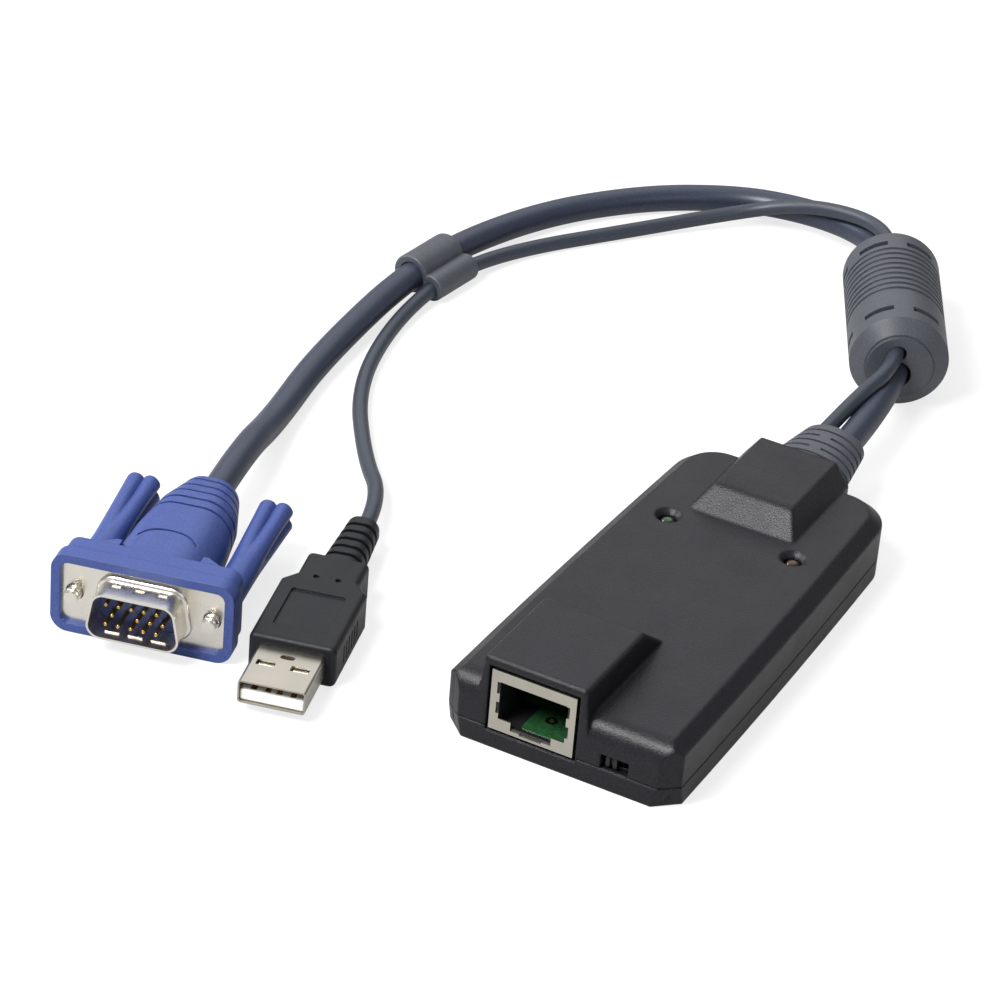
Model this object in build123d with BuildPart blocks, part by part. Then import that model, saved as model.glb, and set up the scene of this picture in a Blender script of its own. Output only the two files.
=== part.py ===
from build123d import *
import os
from math import cos, pi, radians, sin, tan

os.makedirs("parts", exist_ok=True)

# Frame: origin under the middle of the case, front (network jack) toward -Y, cable end toward +Y, +Z up.

# case: two shells meeting at a seam, straight front, bowed sides that draw in toward the cable end
case_length = 93.0
case_front_width = 44.2
case_rear_width = 40.4
side_bow = 0.5
facet_cut = (3.2, 2.7)
facet_foot = (4.1, 3.8)
rear_corner_radius = 8.5
seam_height = 4.3
deck_height = 12.6
bevel_width = 2.55
bevel_height = 2.0
front_round = 4.0
wall = 1.6
floor_thickness = 1.6
deck_thickness = 2.0
bottom_edge_cut = 0.25
soft_edge = 0.6
level_band = 0.01
least_rise = 0.1
seam_groove_depth = 0.45
seam_groove_height = 0.22

# raised block over the network jack
block_width = 19.3
block_height = 18.1
block_foot = 8.0
block_flat = 21.0
block_ramp = 7.3
block_draft = 0.09
block_edge_radius = 0.7

# raised tower over the cable outlet
tower_base_width = 21.0
tower_top_width = 15.2
tower_base_length = 23.7
tower_top_length = 18.9
tower_height = 16.7
tower_front_radius = 2.4
tower_pocket_width = 12.0
tower_pocket_length = 14.0

# network jack
jack_x = -5.05
jack_width = 16.0
jack_height = 11.9
jack_depth = 21.0
jack_sheet = 0.3
jack_gap = 0.6
jack_mouth_width = 12.6
jack_mouth_height = 7.4
jack_mouth_top_rim = 2.1
jack_latch_width = 7.7
jack_latch_height = 1.6
jack_key_width = 4.2
jack_key_height = 0.35
jack_ear = 0.55
jack_ear_height = 2.3
jack_ear_low = 1.0
jack_ear_high = 5.0
jack_board_thickness = 0.8
jack_board_front = 9.0
jack_side_wall = 1.3
jack_roof = 2.4
jack_back_start = 14.0
contact_count = 8
contact_pitch = 1.02
contact_width = 0.45
contact_thickness = 0.35
contact_front = 3.0
contact_drop = 3.2

# circuit board and the small parts on it
board_thickness = 1.6
board_top = 4.0
board_gap = 0.5
post_front_inset = 4.8
post_rear_inset = (6.6, 10.0)
post_gap = 0.9
post_radius = 2.6
lower_post_radius = 3.0
screw_radius = 1.1
screw_length = 6.9
screw_head_radius = 2.1
screw_head_height = 1.3
screw_sink = 1.45
screw_clearance = 0.3
screw_dome = 0.45
screw_slot = 0.4
screw_slot_depth = 0.6
chip_width = 10.0
chip_height = 1.4
chip_corner = 0.7
chip_y = 2.0
side_chip_length = 8.0
side_chip_width = 5.0
side_chip_height = 1.2
side_chip_x = 12.5
side_chip_y = 10.5
can_radius = 2.5
can_edge = 0.5
can_clearance = 1.2
can_inset = 6.1
can_pitch = 6.5
can_behind_post = 8.0
crystal_length = 9.0
crystal_width = 3.6
crystal_height = 3.4
crystal_edge = 0.45
crystal_y = -12.0
crystal_x = 9.5
plug_block_width = 12.0
plug_block_length = 4.5
plug_block_clearance = 1.6
plug_block_y = 28.0
socket_count = 5
socket_pitch = 2.0
socket_size = (1.2, 2.2)
socket_depth = 2.5

# indicator lamps in conical recesses
lamp_x = 12.4
lamp_y = 18.6
lamp_radius = 1.5
lamp_dome = 1.2
lamp_flange_radius = 1.9
lamp_flange_height = 1.0
lamp_tip_drop = 0.75
lamp_body_length = 5.3
lamp_leg = 0.5
lamp_leg_pitch = 2.54
lamp_hole_gap = 0.1
recess_radius = 2.55
recess_angle = 90.0

# slide switch behind a notch in the front edge
notch_left = 8.1
notch_width = 5.3
notch_top = 7.0
switch_depth = 3.6
switch_height = 3.6
switch_margin = 1.6
switch_skin = 0.6
knob_width = 2.1
knob_start = 0.8
knob_height = 1.9
knob_reach = 1.7
knob_groove = 0.6
slider_width = 3.4
slider_depth = 1.2
slide_gap = 0.05

# cable boot at the rear wall
boot_root_width = 18.4
boot_root_height = 9.4
boot_tip_width = 12.4
boot_tip_height = 8.0
boot_length = 18.0
boot_flange = 1.3
boot_flange_length = 1.4
boot_flange_height = 5.4
boot_gap = 0.1
boot_rings = 5
boot_ring_first = 5.4
boot_ring_pitch = 2.3
boot_ring_width = 0.75
boot_ring_depth = 0.9
boot_bridge = 2.3
boot_side_bridge = (2.0, 1.2)
boot_side_level = -2.3
boot_tip_edge = 1.0

# cords, given as hand-chosen corner points
video_cord_diameter = 5.5
data_cord_diameter = 3.0
cord_height = 9.0
bend_share = 0.45
cord_start = 43.0
display_run = 18.1
data_run = 11.9
video_cord_x = 2.2
data_cord_x = -3.0

# display plug
display_plug_place = (-77.27, -53.61, 7.89)
display_plug_turn = 13.5
frame_width = 33.2
frame_height = 15.78
frame_corner = 3.2
frame_front = 1.0
frame_depth = 3.2
collar_inset = 0.7
collar_depth = 6.2
plate_width = 29.8
plate_height = 12.4
plate_corner = 1.6
plate_thickness = 0.5
screw_spacing = 24.99
screw_hole_radius = 1.65
hood_start = 5.4
hood_front = (18.2, 14.4)
hood_middle = (17.3, 13.4)
hood_neck = (15.0, 12.2)
hood_tip = (10.4, 9.4)
hood_stations = (19.0, 29.0, 37.3)
hood_share = 0.46
hood_end_edge = 0.9
hood_ring_first = 23.8
hood_ring_pitch = 2.75
hood_rings = 5
hood_ring_width = 0.7
hood_ring_depth = 0.55
crescent_back = 14.6
crescent_radius = 7.6
crescent_width = 0.6
crescent_depth = 0.5
crescent_reach = 5.4
shell_wide = 17.7
shell_height = 9.1
shell_slope = 10.0
shell_corner = 2.5
shell_wall = 0.4
shell_reach = 5.9
bead_width = 0.7
bead_reach = 1.0
bead_round = 0.63
dimple_pitch = 4.2
dimple_width = 1.8
dimple_depth = 0.3
dimple_length = 1.4
dimple_back = 2.3
pin_radius = 0.38
pin_pitch = 2.29
pin_row = 1.98
pin_reach = 5.0
pin_root = 3.0
pin_tip_round = 0.27
gusset = (7.4, 15.4, 8.4, 10.0)
gusset_height = 11.6
gusset_root = 1.0
insulator_front = 0.2
insulator_back = 4.5

# thumbscrews of the display plug
thumb_shank_radius = 2.85
thumb_start = 6.5
thumb_fit = 0.06
thumb_flare = 19.0
thumb_end = 36.4
thumb_lobes = 4
thumb_lobe_radius = 1.4
thumb_lobe_near = 1.35
thumb_lobe_far = 2.4
thumb_core_radius = 2.35
thumb_core_step = 0.3
thumb_end_edge = 0.3
thumb_gap = 0.3
thumb_pin_radius = 1.42
thumb_pin_front = 2.3
thumb_pin_root = 18.0
thumb_pin_edge = 0.8

# data plug
data_plug_place = (-47.49, -59.97, 4.07)
data_plug_turn = 14.0
shell_box = (12.0, 4.5)
shell_sheet = 0.3
shell_out = 11.6
shell_in = 6.0
window_size = (3.3, 1.5)
window_x = 3.05
window_back = 6.4
round_hole_back = 9.2
round_hole = (2.6, 1.2)
tongue_height = 2.1
tongue_back = 17.0
tongue_front = 0.5
tongue_edge = 0.2
strip_width = 1.0
strip_height = 0.25
strip_front = 1.2
strip_places = (-3.5, -1.0, 1.0, 3.5)
grip_width = 15.7
grip_height = 8.1
grip_end = 30.5
grip_shoulder = 33.2
grip_neck_width = 11.3
grip_neck_end = 40.0
grip_edge = 0.55
grip_front_edge = 1.0
grip_corner = 1.2
panel_width = 9.8
panel_front = 15.9
panel_back = 27.9
panel_depth = 0.35
panel_corner = 0.6
pip_radius = 0.55
pip_x = 2.0
pip_back = 32.6
pip_depth = 0.6
rib_first = 16.6
rib_pitch = 1.6
rib_count = 6
rib_width = 0.6
rib_depth = 0.4
rib_length = 3.6
relief_root = (7.8, 6.6)
relief_tip = (6.0, 5.8)
relief_end = 56.0
relief_rings = 5
relief_ring_first = 42.0
relief_ring_pitch = 2.7
relief_ring_width = 1.1
relief_ring_depth = 0.75
relief_share = 0.42

# interference barrel around both cords
ferrite_near = (-2.35, 99.33)
ferrite_far = (-17.6, 129.88)
ferrite_radius = 9.65
ferrite_face_radius = 6.9
ferrite_dome = 2.2
ferrite_lip = 0.7
ferrite_disc_radius = 6.5
ferrite_rings = 9
ferrite_ring_depth = 0.35
ferrite_ring_width = 0.9
ferrite_ring_pitch = 2.0
ferrite_ring_start = 0.33
ferrite_slot_count = 6
ferrite_slot_width = 1.6
ferrite_slot_depth = 1.3
ferrite_slot_turn = 36.0
ferrite_slot_inset = 3.2
core_radius = 7.6
core_inset = 3.5
bore_width = 7.4
bore_height = 9.4

# clip that holds the two cords together
clip_place = (-100.28, 88.3)
clip_turn = -6.8
clip_length = 13.0
clip_wall = 1.3
clip_video_height = 4.2
clip_data_height = 2.84
clip_spacing = 5.1
clip_edge = 0.5

half_length = case_length / 2
front_half = case_front_width / 2
rear_half = case_rear_width / 2
middle_half = (front_half + rear_half) / 2 + side_bow
bevel_start = deck_height - bevel_height
block_length = block_flat + block_ramp
jack_bottom = board_top
jack_top = jack_bottom + jack_height
board_bottom = board_top - board_thickness
inner_top = deck_height - deck_thickness
inner_height = inner_top - board_top
jack_end = jack_depth + jack_gap - half_length
post_front = (front_half - post_front_inset, jack_end + lower_post_radius + post_gap)
post_rear = (rear_half - post_rear_inset[0], half_length - post_rear_inset[1])
post_places = [(side * x, y) for x, y in (post_front, post_rear) for side in (-1, 1)]
can_places = [(can_inset - front_half, post_front[1] + can_behind_post + n * can_pitch) for n in (0, 1)]
can_height = inner_height - can_clearance
plug_block_height = inner_height - plug_block_clearance
tower_front = half_length - tower_base_length


def case_sketch(height, inset):
    """Outline of the case seen from above, drawn at a height and pulled in by an inset."""
    with BuildSketch(Plane.XY.offset(height)) as outline:
        with BuildLine():
            front = Line((-front_half, -half_length), (front_half, -half_length))
            right = ThreePointArc(front @ 1, (middle_half, 0), (rear_half, half_length))
            rear = Line(right @ 1, (-rear_half, half_length))
            ThreePointArc(rear @ 1, (-middle_half, 0), front @ 0)
        make_face()
        fillet(outline.vertices().group_by(Axis.Y)[-1], rear_corner_radius)
        if inset:
            offset(amount=-inset, kind=Kind.INTERSECTION)
    return outline.sketch


def corner_wedge(side, bottom, bottom_cut, top, top_cut):
    """Wedge that takes a front corner off between two heights; each cut is given across and back."""
    with BuildPart() as wedge:
        for height, (across, back) in ((bottom, bottom_cut), (top, top_cut)):
            with BuildSketch(Plane.XY.offset(height)):
                with BuildLine():
                    Polyline(
                        (side * (front_half - across - across / 2), -half_length - back / 2),
                        (side * (front_half + across / 2), back + back / 2 - half_length),
                        (side * (front_half + across / 2), -half_length - back / 2), close=True,
                    )
                make_face()
        loft(ruled=True)
    return wedge.part


def level_edges(builder, height):
    """Edges whose middle lies at one height."""
    return builder.edges().filter_by_position(Axis.Z, height - level_band, height + level_band)


def rising_edges(builder, near, far, top):
    """Edges above the deck and below a top that climb, with their middle between two places along Y."""
    climbing = builder.edges().filter_by(lambda edge: abs(edge.tangent_at(0.5).Z) > least_rise)
    return climbing.filter_by_position(Axis.Y, near, far).filter_by_position(Axis.Z, deck_height, top)


def plug_plane(place, turn):
    """Plane on the mating face of a plug, looking out of the plug, with its second axis upward."""
    side = (cos(radians(turn)), sin(radians(turn)), 0)
    outward = (sin(radians(turn)), -cos(radians(turn)), 0)
    return Plane(origin=place, x_dir=side, z_dir=outward)


def cord_path(route):
    """Straight runs and tangent arcs through the route's corner points."""
    points = [Vector(*point) for point in route]
    radii = []
    for before, corner, after in zip(points, points[1:], points[2:]):
        turn = (corner - before).get_angle(after - corner)
        run = min((corner - before).length, (after - corner).length)
        radii.append(bend_share * run / tan(radians(turn / 2)))
    print("bend radii", [round(radius, 1) for radius in radii])
    return FilletPolyline(*points, radius=radii, mode=Mode.PRIVATE)


jack_plane = Plane(origin=(jack_x, -half_length, 0), x_dir=(1, 0, 0), z_dir=(0, -1, 0))
rear_plane = Plane(origin=(0, half_length, cord_height), x_dir=(-1, 0, 0), z_dir=(0, 1, 0))
display_plane = plug_plane(display_plug_place, display_plug_turn)
data_plane = plug_plane(data_plug_place, data_plug_turn)
display_end = tuple(display_plane.from_local_coords((0, 0, -hood_stations[-1])))
display_lead = tuple(display_plane.from_local_coords((0, 0, -hood_stations[-1] - display_run)))
data_end = tuple(data_plane.from_local_coords((0, 0, -relief_end)))
data_lead = tuple(data_plane.from_local_coords((0, 0, -relief_end - data_run)))

video_route = [
    (video_cord_x, cord_start, cord_height), (video_cord_x, 90.2, 8.1), (-12.2, 119.0, 8.1),
    (-24.8, 144.4, 6.9), (-34.9, 154.2, 5.3), (-48.0, 158.2, 3.9), (-62.5, 156.2, 2.9),
    (-79.2, 142.8, 2.76), (-94.3, 120.2, 2.78), (-101.4, 86.5, 4.6), (-100.2, 45.0, 2.76),
    (-94.9, 19.0, 3.0), display_lead, display_end,
]
data_route = [
    (data_cord_x, cord_start, cord_height), (data_cord_x, 76.5, 10.6), (0.2, 94.0, 12.9),
    (-11.8, 119.4, 12.6), (-22.7, 141.2, 11.6), (-32.8, 150.0, 10.0), (-47.6, 153.0, 6.9),
    (-60.1, 148.6, 2.8), (-75.6, 129.1, 1.52), (-90.5, 108.3, 1.55), (-95.6, 88.6, 3.2),
    (-96.4, 67.0, 1.55), (-89.6, 41.4, 1.52), (-75.3, 19.6, 1.6), data_lead, data_end,
]

# upper shell
with BuildPart() as upper_case:
    add(case_sketch(seam_height, 0))
    extrude(amount=deck_height - seam_height)
    deck = upper_case.faces().sort_by(Axis.Z)[-1]
    chamfer(deck.edges().sort_by(Axis.Y)[1:], bevel_width, bevel_height, reference=deck)
    side_rims = level_edges(upper_case, bevel_start) + level_edges(upper_case, deck_height)
    fillet(side_rims.filter_by(Plane.XY).sort_by(Axis.Y)[1:], soft_edge)
    with BuildSketch(Plane.YZ) as side_view:
        with Locations((0, deck_height / 2)):
            Rectangle(case_length, deck_height)
        fillet(side_view.vertices().group_by(Axis.Y)[0].sort_by(Axis.Z)[-1], front_round)
    extrude(amount=case_front_width, both=True, mode=Mode.INTERSECT)
    for side in (-1, 1):
        add(corner_wedge(side, 0, facet_cut, deck_height, facet_cut), mode=Mode.SUBTRACT)
    # block over the jack, its sides slightly drafted
    foot_spread = 2 * block_draft * (block_height - block_foot)
    with BuildSketch(Plane.XY.offset(block_foot)):
        with Locations((jack_x, block_length / 2 - half_length)):
            Rectangle(block_width + foot_spread, block_length)
    with BuildSketch(Plane.XY.offset(block_height)):
        with Locations((jack_x, block_length / 2 - half_length)):
            Rectangle(block_width, block_length)
    loft(ruled=True)
    with BuildSketch(Plane.YZ):
        with BuildLine():
            Polyline(
                (block_flat - half_length, block_height), (block_length - half_length, deck_height),
                (block_length - half_length, block_height), close=True,
            )
        make_face()
    extrude(amount=case_front_width, both=True, mode=Mode.SUBTRACT)
    # tower over the cable outlet, sloping on three sides and flush at the rear
    with BuildSketch(Plane.XY.offset(deck_height)):
        with Locations((0, half_length - tower_base_length / 2)):
            Rectangle(tower_base_width, tower_base_length)
    with BuildSketch(Plane.XY.offset(tower_height)):
        with Locations((0, half_length - tower_top_length / 2)):
            Rectangle(tower_top_width, tower_top_length)
    loft(ruled=True)
    with BuildSketch(Plane.XY.offset(seam_height)):
        with Locations((0, half_length - bevel_width)):
            Rectangle(tower_base_width, 2 * bevel_width)
    extrude(amount=deck_height - seam_height)
    block_rim = level_edges(upper_case, block_height)
    fillet(block_rim, block_edge_radius)
    tower_rim = level_edges(upper_case, tower_height)
    fillet(tower_rim.filter_by(Axis.X).sort_by(Axis.Y)[0], tower_front_radius)
    for near, far, top in (
        (-half_length - soft_edge, soft_edge - half_length, block_height),
        (tower_front, tower_front + tower_base_length - tower_top_length, tower_height - soft_edge),
        (block_flat - half_length, block_length - half_length, block_height - soft_edge),
    ):
        fillet(rising_edges(upper_case, near, far, top), soft_edge)
    # room inside
    add(case_sketch(seam_height, wall))
    extrude(amount=inner_top - seam_height, mode=Mode.SUBTRACT)
    with BuildSketch(jack_plane):
        with Locations((0, (jack_top + jack_gap) / 2)):
            Rectangle(jack_width + 2 * jack_gap, jack_top + jack_gap)
    extrude(amount=-jack_depth - jack_gap, mode=Mode.SUBTRACT)
    with BuildSketch(Plane.XY.offset(inner_top)):
        with Locations((0, half_length - wall - tower_pocket_length / 2)):
            Rectangle(tower_pocket_width, tower_pocket_length)
    extrude(amount=tower_height - inner_top - wall, mode=Mode.SUBTRACT)
    with BuildSketch(rear_plane):
        Ellipse(boot_root_width / 2, boot_root_height / 2)
        with Locations((0, -boot_root_height / 2)):
            Rectangle(boot_root_width / 2, boot_root_height)
    extrude(amount=-2 * wall, mode=Mode.SUBTRACT)
    lamp_hole = lamp_radius + lamp_hole_gap
    with Locations((-lamp_x, lamp_y, deck_height), (lamp_x, lamp_y, deck_height)):
        CounterSinkHole(lamp_hole, recess_radius, deck_height, counter_sink_angle=recess_angle)
    with BuildSketch(Plane.XZ.offset(half_length)):
        with Locations((notch_left + notch_width / 2, notch_top / 2)):
            Rectangle(notch_width, notch_top)
    extrude(amount=-2 * wall, mode=Mode.SUBTRACT)
    # screw posts standing on the board
    with BuildSketch(Plane.XY.offset(board_top)):
        with Locations(*post_places):
            Circle(post_radius)
    extrude(amount=inner_top - board_top)
    with BuildSketch(Plane.XY.offset(board_top)):
        with Locations(*post_places):
            Circle(screw_radius)
    extrude(amount=screw_length - board_top + screw_sink, mode=Mode.SUBTRACT)
upper_case.part.label = "upper_case"
export_step(upper_case.part, "parts/upper_case.step")

# lower shell
with BuildPart() as lower_case:
    add(case_sketch(0, 0))
    extrude(amount=seam_height)
    for side in (-1, 1):
        add(corner_wedge(side, 0, facet_foot, seam_height, facet_cut), mode=Mode.SUBTRACT)
    chamfer(lower_case.faces().sort_by(Axis.Z)[0].edges(), bottom_edge_cut)
    add(case_sketch(floor_thickness, wall))
    extrude(amount=seam_height - floor_thickness, mode=Mode.SUBTRACT)
    with BuildSketch(Plane.XY.offset(floor_thickness)):
        with Locations(*post_places):
            Circle(lower_post_radius)
    extrude(amount=board_bottom - floor_thickness)
    with Locations(*[(x, y, 0) for x, y in post_places]):
        Cylinder(screw_head_radius + screw_clearance, screw_sink,
                 align=(Align.CENTER, Align.CENTER, Align.MIN), mode=Mode.SUBTRACT)
        Cylinder(screw_radius + screw_clearance, seam_height,
                 align=(Align.CENTER, Align.CENTER, Align.MIN), mode=Mode.SUBTRACT)
    with BuildSketch(jack_plane):
        with Locations((0, board_top)):
            Rectangle(jack_width + 2 * jack_gap, 2 * jack_gap)
    extrude(amount=-2 * wall, mode=Mode.SUBTRACT)
    add(case_sketch(seam_height - seam_groove_height, 0))
    add(case_sketch(seam_height - seam_groove_height, seam_groove_depth), mode=Mode.SUBTRACT)
    extrude(amount=seam_groove_height, mode=Mode.SUBTRACT)
lower_case.part.label = "lower_case"
export_step(lower_case.part, "parts/lower_case.step")

# screws from below, one in each post
with BuildPart() as case_screws:
    with BuildSketch(Plane.XY.offset(screw_sink - screw_head_height)):
        with Locations(*post_places):
            Circle(screw_head_radius)
    extrude(amount=screw_head_height)
    fillet(case_screws.faces().group_by(Axis.Z)[0].edges(), screw_dome)
    with BuildSketch(Plane.XY.offset(screw_sink)):
        with Locations(*post_places):
            Circle(screw_radius)
    extrude(amount=screw_length)
    with BuildSketch(Plane.XY.offset(screw_sink - screw_head_height)):
        with Locations(*post_places):
            Rectangle(2 * screw_radius, screw_slot)
            Rectangle(screw_slot, 2 * screw_radius)
    extrude(amount=screw_slot_depth, mode=Mode.SUBTRACT)
case_screws.part.label = "case_screws"
export_step(case_screws.part, "parts/case_screws.step")

# circuit board between the lower and upper posts
with BuildPart() as circuit_board:
    add(case_sketch(board_bottom, wall + board_gap))
    extrude(amount=board_thickness)
    with Locations(*[(x, y, board_top) for x, y in post_places]):
        Hole(screw_radius + screw_clearance)
circuit_board.part.label = "circuit_board"
export_step(circuit_board.part, "parts/circuit_board.step")


def board_block(x, y, width, length, height):
    """A plain block standing on the board, inside the current builder."""
    with Locations((x, y, board_top)):
        Box(width, length, height, align=(Align.CENTER, Align.CENTER, Align.MIN))


with BuildPart() as control_chip:
    board_block(0, chip_y, chip_width, chip_width, chip_height)
    chamfer(control_chip.edges().filter_by(Axis.Z), chip_corner)
control_chip.part.label = "control_chip"
export_step(control_chip.part, "parts/control_chip.step")

with BuildPart() as side_chips:
    for side in (-1, 1):
        board_block(side * side_chip_x, side_chip_y, side_chip_width, side_chip_length, side_chip_height)
side_chips.part.label = "side_chips"
export_step(side_chips.part, "parts/side_chips.step")

with BuildPart() as can_capacitors:
    with Locations(*[(x, y, board_top) for x, y in can_places]):
        Cylinder(can_radius, can_height, align=(Align.CENTER, Align.CENTER, Align.MIN))
    fillet(can_capacitors.faces().group_by(Axis.Z)[-1].edges(), can_edge)
can_capacitors.part.label = "can_capacitors"
export_step(can_capacitors.part, "parts/can_capacitors.step")

with BuildPart() as clock_crystal:
    with BuildSketch(Plane.XY.offset(board_top)):
        with Locations((crystal_x, crystal_y)):
            SlotOverall(crystal_length, crystal_width)
    extrude(amount=crystal_height)
    fillet(clock_crystal.faces().sort_by(Axis.Z)[-1].edges(), crystal_edge)
clock_crystal.part.label = "clock_crystal"
export_step(clock_crystal.part, "parts/clock_crystal.step")

with BuildPart() as cable_header:
    board_block(0, plug_block_y, plug_block_width, plug_block_length, plug_block_height)
    with BuildSketch(Plane.XY.offset(board_top + plug_block_height)):
        with Locations((0, plug_block_y)):
            with GridLocations(socket_pitch, 0, socket_count, 1):
                Rectangle(*socket_size)
    extrude(amount=-socket_depth, mode=Mode.SUBTRACT)
cable_header.part.label = "cable_header"
export_step(cable_header.part, "parts/cable_header.step")

# network jack: folded metal shield, open at the rear, with a stepped mouth for the plug's latch
mouth_top = jack_top - jack_mouth_top_rim
mouth_bottom = mouth_top - jack_mouth_height
mouth_steps = (
    (0, mouth_top - jack_mouth_height / 2, jack_mouth_width, jack_mouth_height),
    (0, mouth_bottom, jack_latch_width, 2 * jack_latch_height),
    (0, mouth_bottom - jack_latch_height, jack_key_width, 2 * jack_key_height),
    (0, mouth_bottom + jack_ear_low + jack_ear_height / 2, jack_mouth_width + 2 * jack_ear, jack_ear_height),
    (0, mouth_bottom + jack_ear_high + jack_ear_height / 2, jack_mouth_width + 2 * jack_ear, jack_ear_height),
)
with BuildPart() as jack_shield:
    with BuildSketch(jack_plane):
        with Locations((0, jack_bottom + jack_height / 2)):
            Rectangle(jack_width, jack_height)
        for across, up, step_width, step_height in mouth_steps:
            with Locations((across, up)):
                Rectangle(step_width, step_height, mode=Mode.SUBTRACT)
    extrude(amount=-jack_sheet)
    with BuildSketch(jack_plane.offset(-jack_sheet)):
        with Locations((0, jack_bottom + jack_height / 2)):
            Rectangle(jack_width, jack_height)
            Rectangle(jack_width - 2 * jack_sheet, jack_height - 2 * jack_sheet, mode=Mode.SUBTRACT)
    extrude(amount=jack_sheet - jack_depth)
jack_shield.part.label = "jack_shield"
export_step(jack_shield.part, "parts/jack_shield.step")

jack_board_top = jack_bottom + jack_sheet + jack_board_thickness
with BuildPart() as jack_board:
    with BuildSketch(jack_plane.offset(-jack_board_front)):
        with Locations((0, jack_board_top - jack_board_thickness / 2)):
            Rectangle(jack_width - 2 * jack_sheet, jack_board_thickness)
    extrude(amount=jack_board_front - jack_depth)
    with Locations((jack_x, (jack_board_front + jack_back_start) / 2 - half_length, jack_board_top)):
        Hole(pip_radius)
jack_board.part.label = "jack_board"
export_step(jack_board.part, "parts/jack_board.step")

with BuildPart() as jack_insulator:
    with BuildSketch(jack_plane.offset(-jack_sheet)):
        with Locations((0, (jack_board_top + jack_top - jack_sheet) / 2)):
            Rectangle(jack_width - 2 * jack_sheet, jack_top - jack_sheet - jack_board_top)
    extrude(amount=jack_sheet - jack_depth)
    with BuildSketch(jack_plane.offset(-jack_sheet)):
        with Locations((0, (jack_board_top + mouth_top) / 2)):
            Rectangle(jack_width - 2 * jack_sheet - 2 * jack_side_wall, mouth_top - jack_board_top)
    extrude(amount=-jack_back_start, mode=Mode.SUBTRACT)
    with BuildSketch(jack_plane.offset(-jack_sheet)):
        with Locations((0, jack_board_top - jack_board_thickness / 2)):
            Rectangle(jack_width - 2 * jack_sheet, jack_board_thickness)
    extrude(amount=jack_sheet - jack_board_front)
jack_insulator.part.label = "jack_insulator"
export_step(jack_insulator.part, "parts/jack_insulator.step")

with BuildPart() as jack_contacts:
    contact_back = jack_back_start + jack_sheet - half_length
    contact_foot = mouth_top - contact_drop
    for number in range(contact_count):
        place = jack_x + (number - (contact_count - 1) / 2) * contact_pitch
        with BuildSketch(Plane.YZ.offset(place)):
            with BuildLine():
                Polyline(
                    (contact_front - half_length, mouth_top),
                    (contact_back, contact_foot),
                    (contact_back, contact_foot - contact_thickness),
                    (contact_front - half_length - contact_thickness, mouth_top), close=True,
                )
            make_face()
        extrude(amount=contact_width / 2, both=True)
jack_contacts.part.label = "jack_contacts"
export_step(jack_contacts.part, "parts/jack_contacts.step")


def lamp(side):
    """One lamp with a domed tip, a flange and two legs down to the board."""
    tip = deck_height - lamp_tip_drop
    base = tip - lamp_body_length
    with BuildPart() as body:
        with Locations((side * lamp_x, lamp_y, base)):
            Cylinder(lamp_radius, lamp_body_length, align=(Align.CENTER, Align.CENTER, Align.MIN))
            fillet(body.faces().sort_by(Axis.Z)[-1].edges(), lamp_dome)
            Cylinder(lamp_flange_radius, lamp_flange_height, align=(Align.CENTER, Align.CENTER, Align.MIN))
        with BuildSketch(Plane.XY.offset(base)):
            with Locations((side * lamp_x, lamp_y)):
                with GridLocations(lamp_leg_pitch, 0, 2, 1):
                    Rectangle(lamp_leg, lamp_leg)
        extrude(amount=board_top - base)
    return body.part


green_lamp = lamp(-1)
green_lamp.label = "green_lamp"
export_step(green_lamp, "parts/green_lamp.step")
amber_lamp = lamp(1)
amber_lamp.label = "amber_lamp"
export_step(amber_lamp, "parts/amber_lamp.step")

# slide switch: hollow body on the board, its knob reaching into the notch
switch_front = wall + slide_gap - half_length
switch_middle = notch_left + notch_width / 2
knob_left = notch_left + knob_start
slot_bottom = board_top + switch_skin
with BuildPart() as switch_body:
    with Locations((switch_middle, switch_front + switch_depth / 2, board_top)):
        Box(notch_width + 2 * switch_margin, switch_depth, switch_height,
            align=(Align.CENTER, Align.CENTER, Align.MIN))
    with Locations((switch_middle, switch_front + switch_depth / 2, slot_bottom)):
        Box(notch_width + 2 * switch_margin - 2 * switch_skin, switch_depth - 2 * switch_skin,
            switch_height - 2 * switch_skin, align=(Align.CENTER, Align.CENTER, Align.MIN),
            mode=Mode.SUBTRACT)
    with Locations((switch_middle, switch_front, slot_bottom)):
        Box(notch_width, 2 * switch_skin, knob_height + 2 * slide_gap,
            align=(Align.CENTER, Align.CENTER, Align.MIN), mode=Mode.SUBTRACT)
switch_body.part.label = "switch_body"
export_step(switch_body.part, "parts/switch_body.step")

with BuildPart() as switch_knob:
    slider_height = switch_height - 2 * switch_skin - 2 * slide_gap
    slider_front = switch_front + switch_skin + slide_gap
    with Locations((knob_left + knob_width / 2, slider_front, slot_bottom + slide_gap)):
        Box(slider_width, slider_depth, slider_height, align=(Align.CENTER, Align.MIN, Align.MIN))
        Box(knob_width, knob_reach + slide_gap, knob_height, align=(Align.CENTER, Align.MAX, Align.MIN))
    with BuildSketch(Plane.XY.offset(slot_bottom + slide_gap)):
        with Locations((knob_left + knob_width / 2, switch_front + switch_skin - knob_reach)):
            Rectangle(knob_groove, 2 * knob_groove)
    extrude(amount=knob_height, mode=Mode.SUBTRACT)
switch_knob.part.label = "switch_knob"
export_step(switch_knob.part, "parts/switch_knob.step")

# cords: plain round tubes along straight runs and tangent arcs
video_path = cord_path(video_route)
data_path = cord_path(data_route)
video_radius = video_cord_diameter / 2
data_radius = data_cord_diameter / 2

def cord(path, diameter):
    """A plain round tube along a cord's path."""
    with BuildPart() as tube:
        with BuildSketch(Plane(origin=path @ 0, z_dir=path % 0)):
            Circle(diameter / 2)
        sweep(path=path)
    return tube.part


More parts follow.
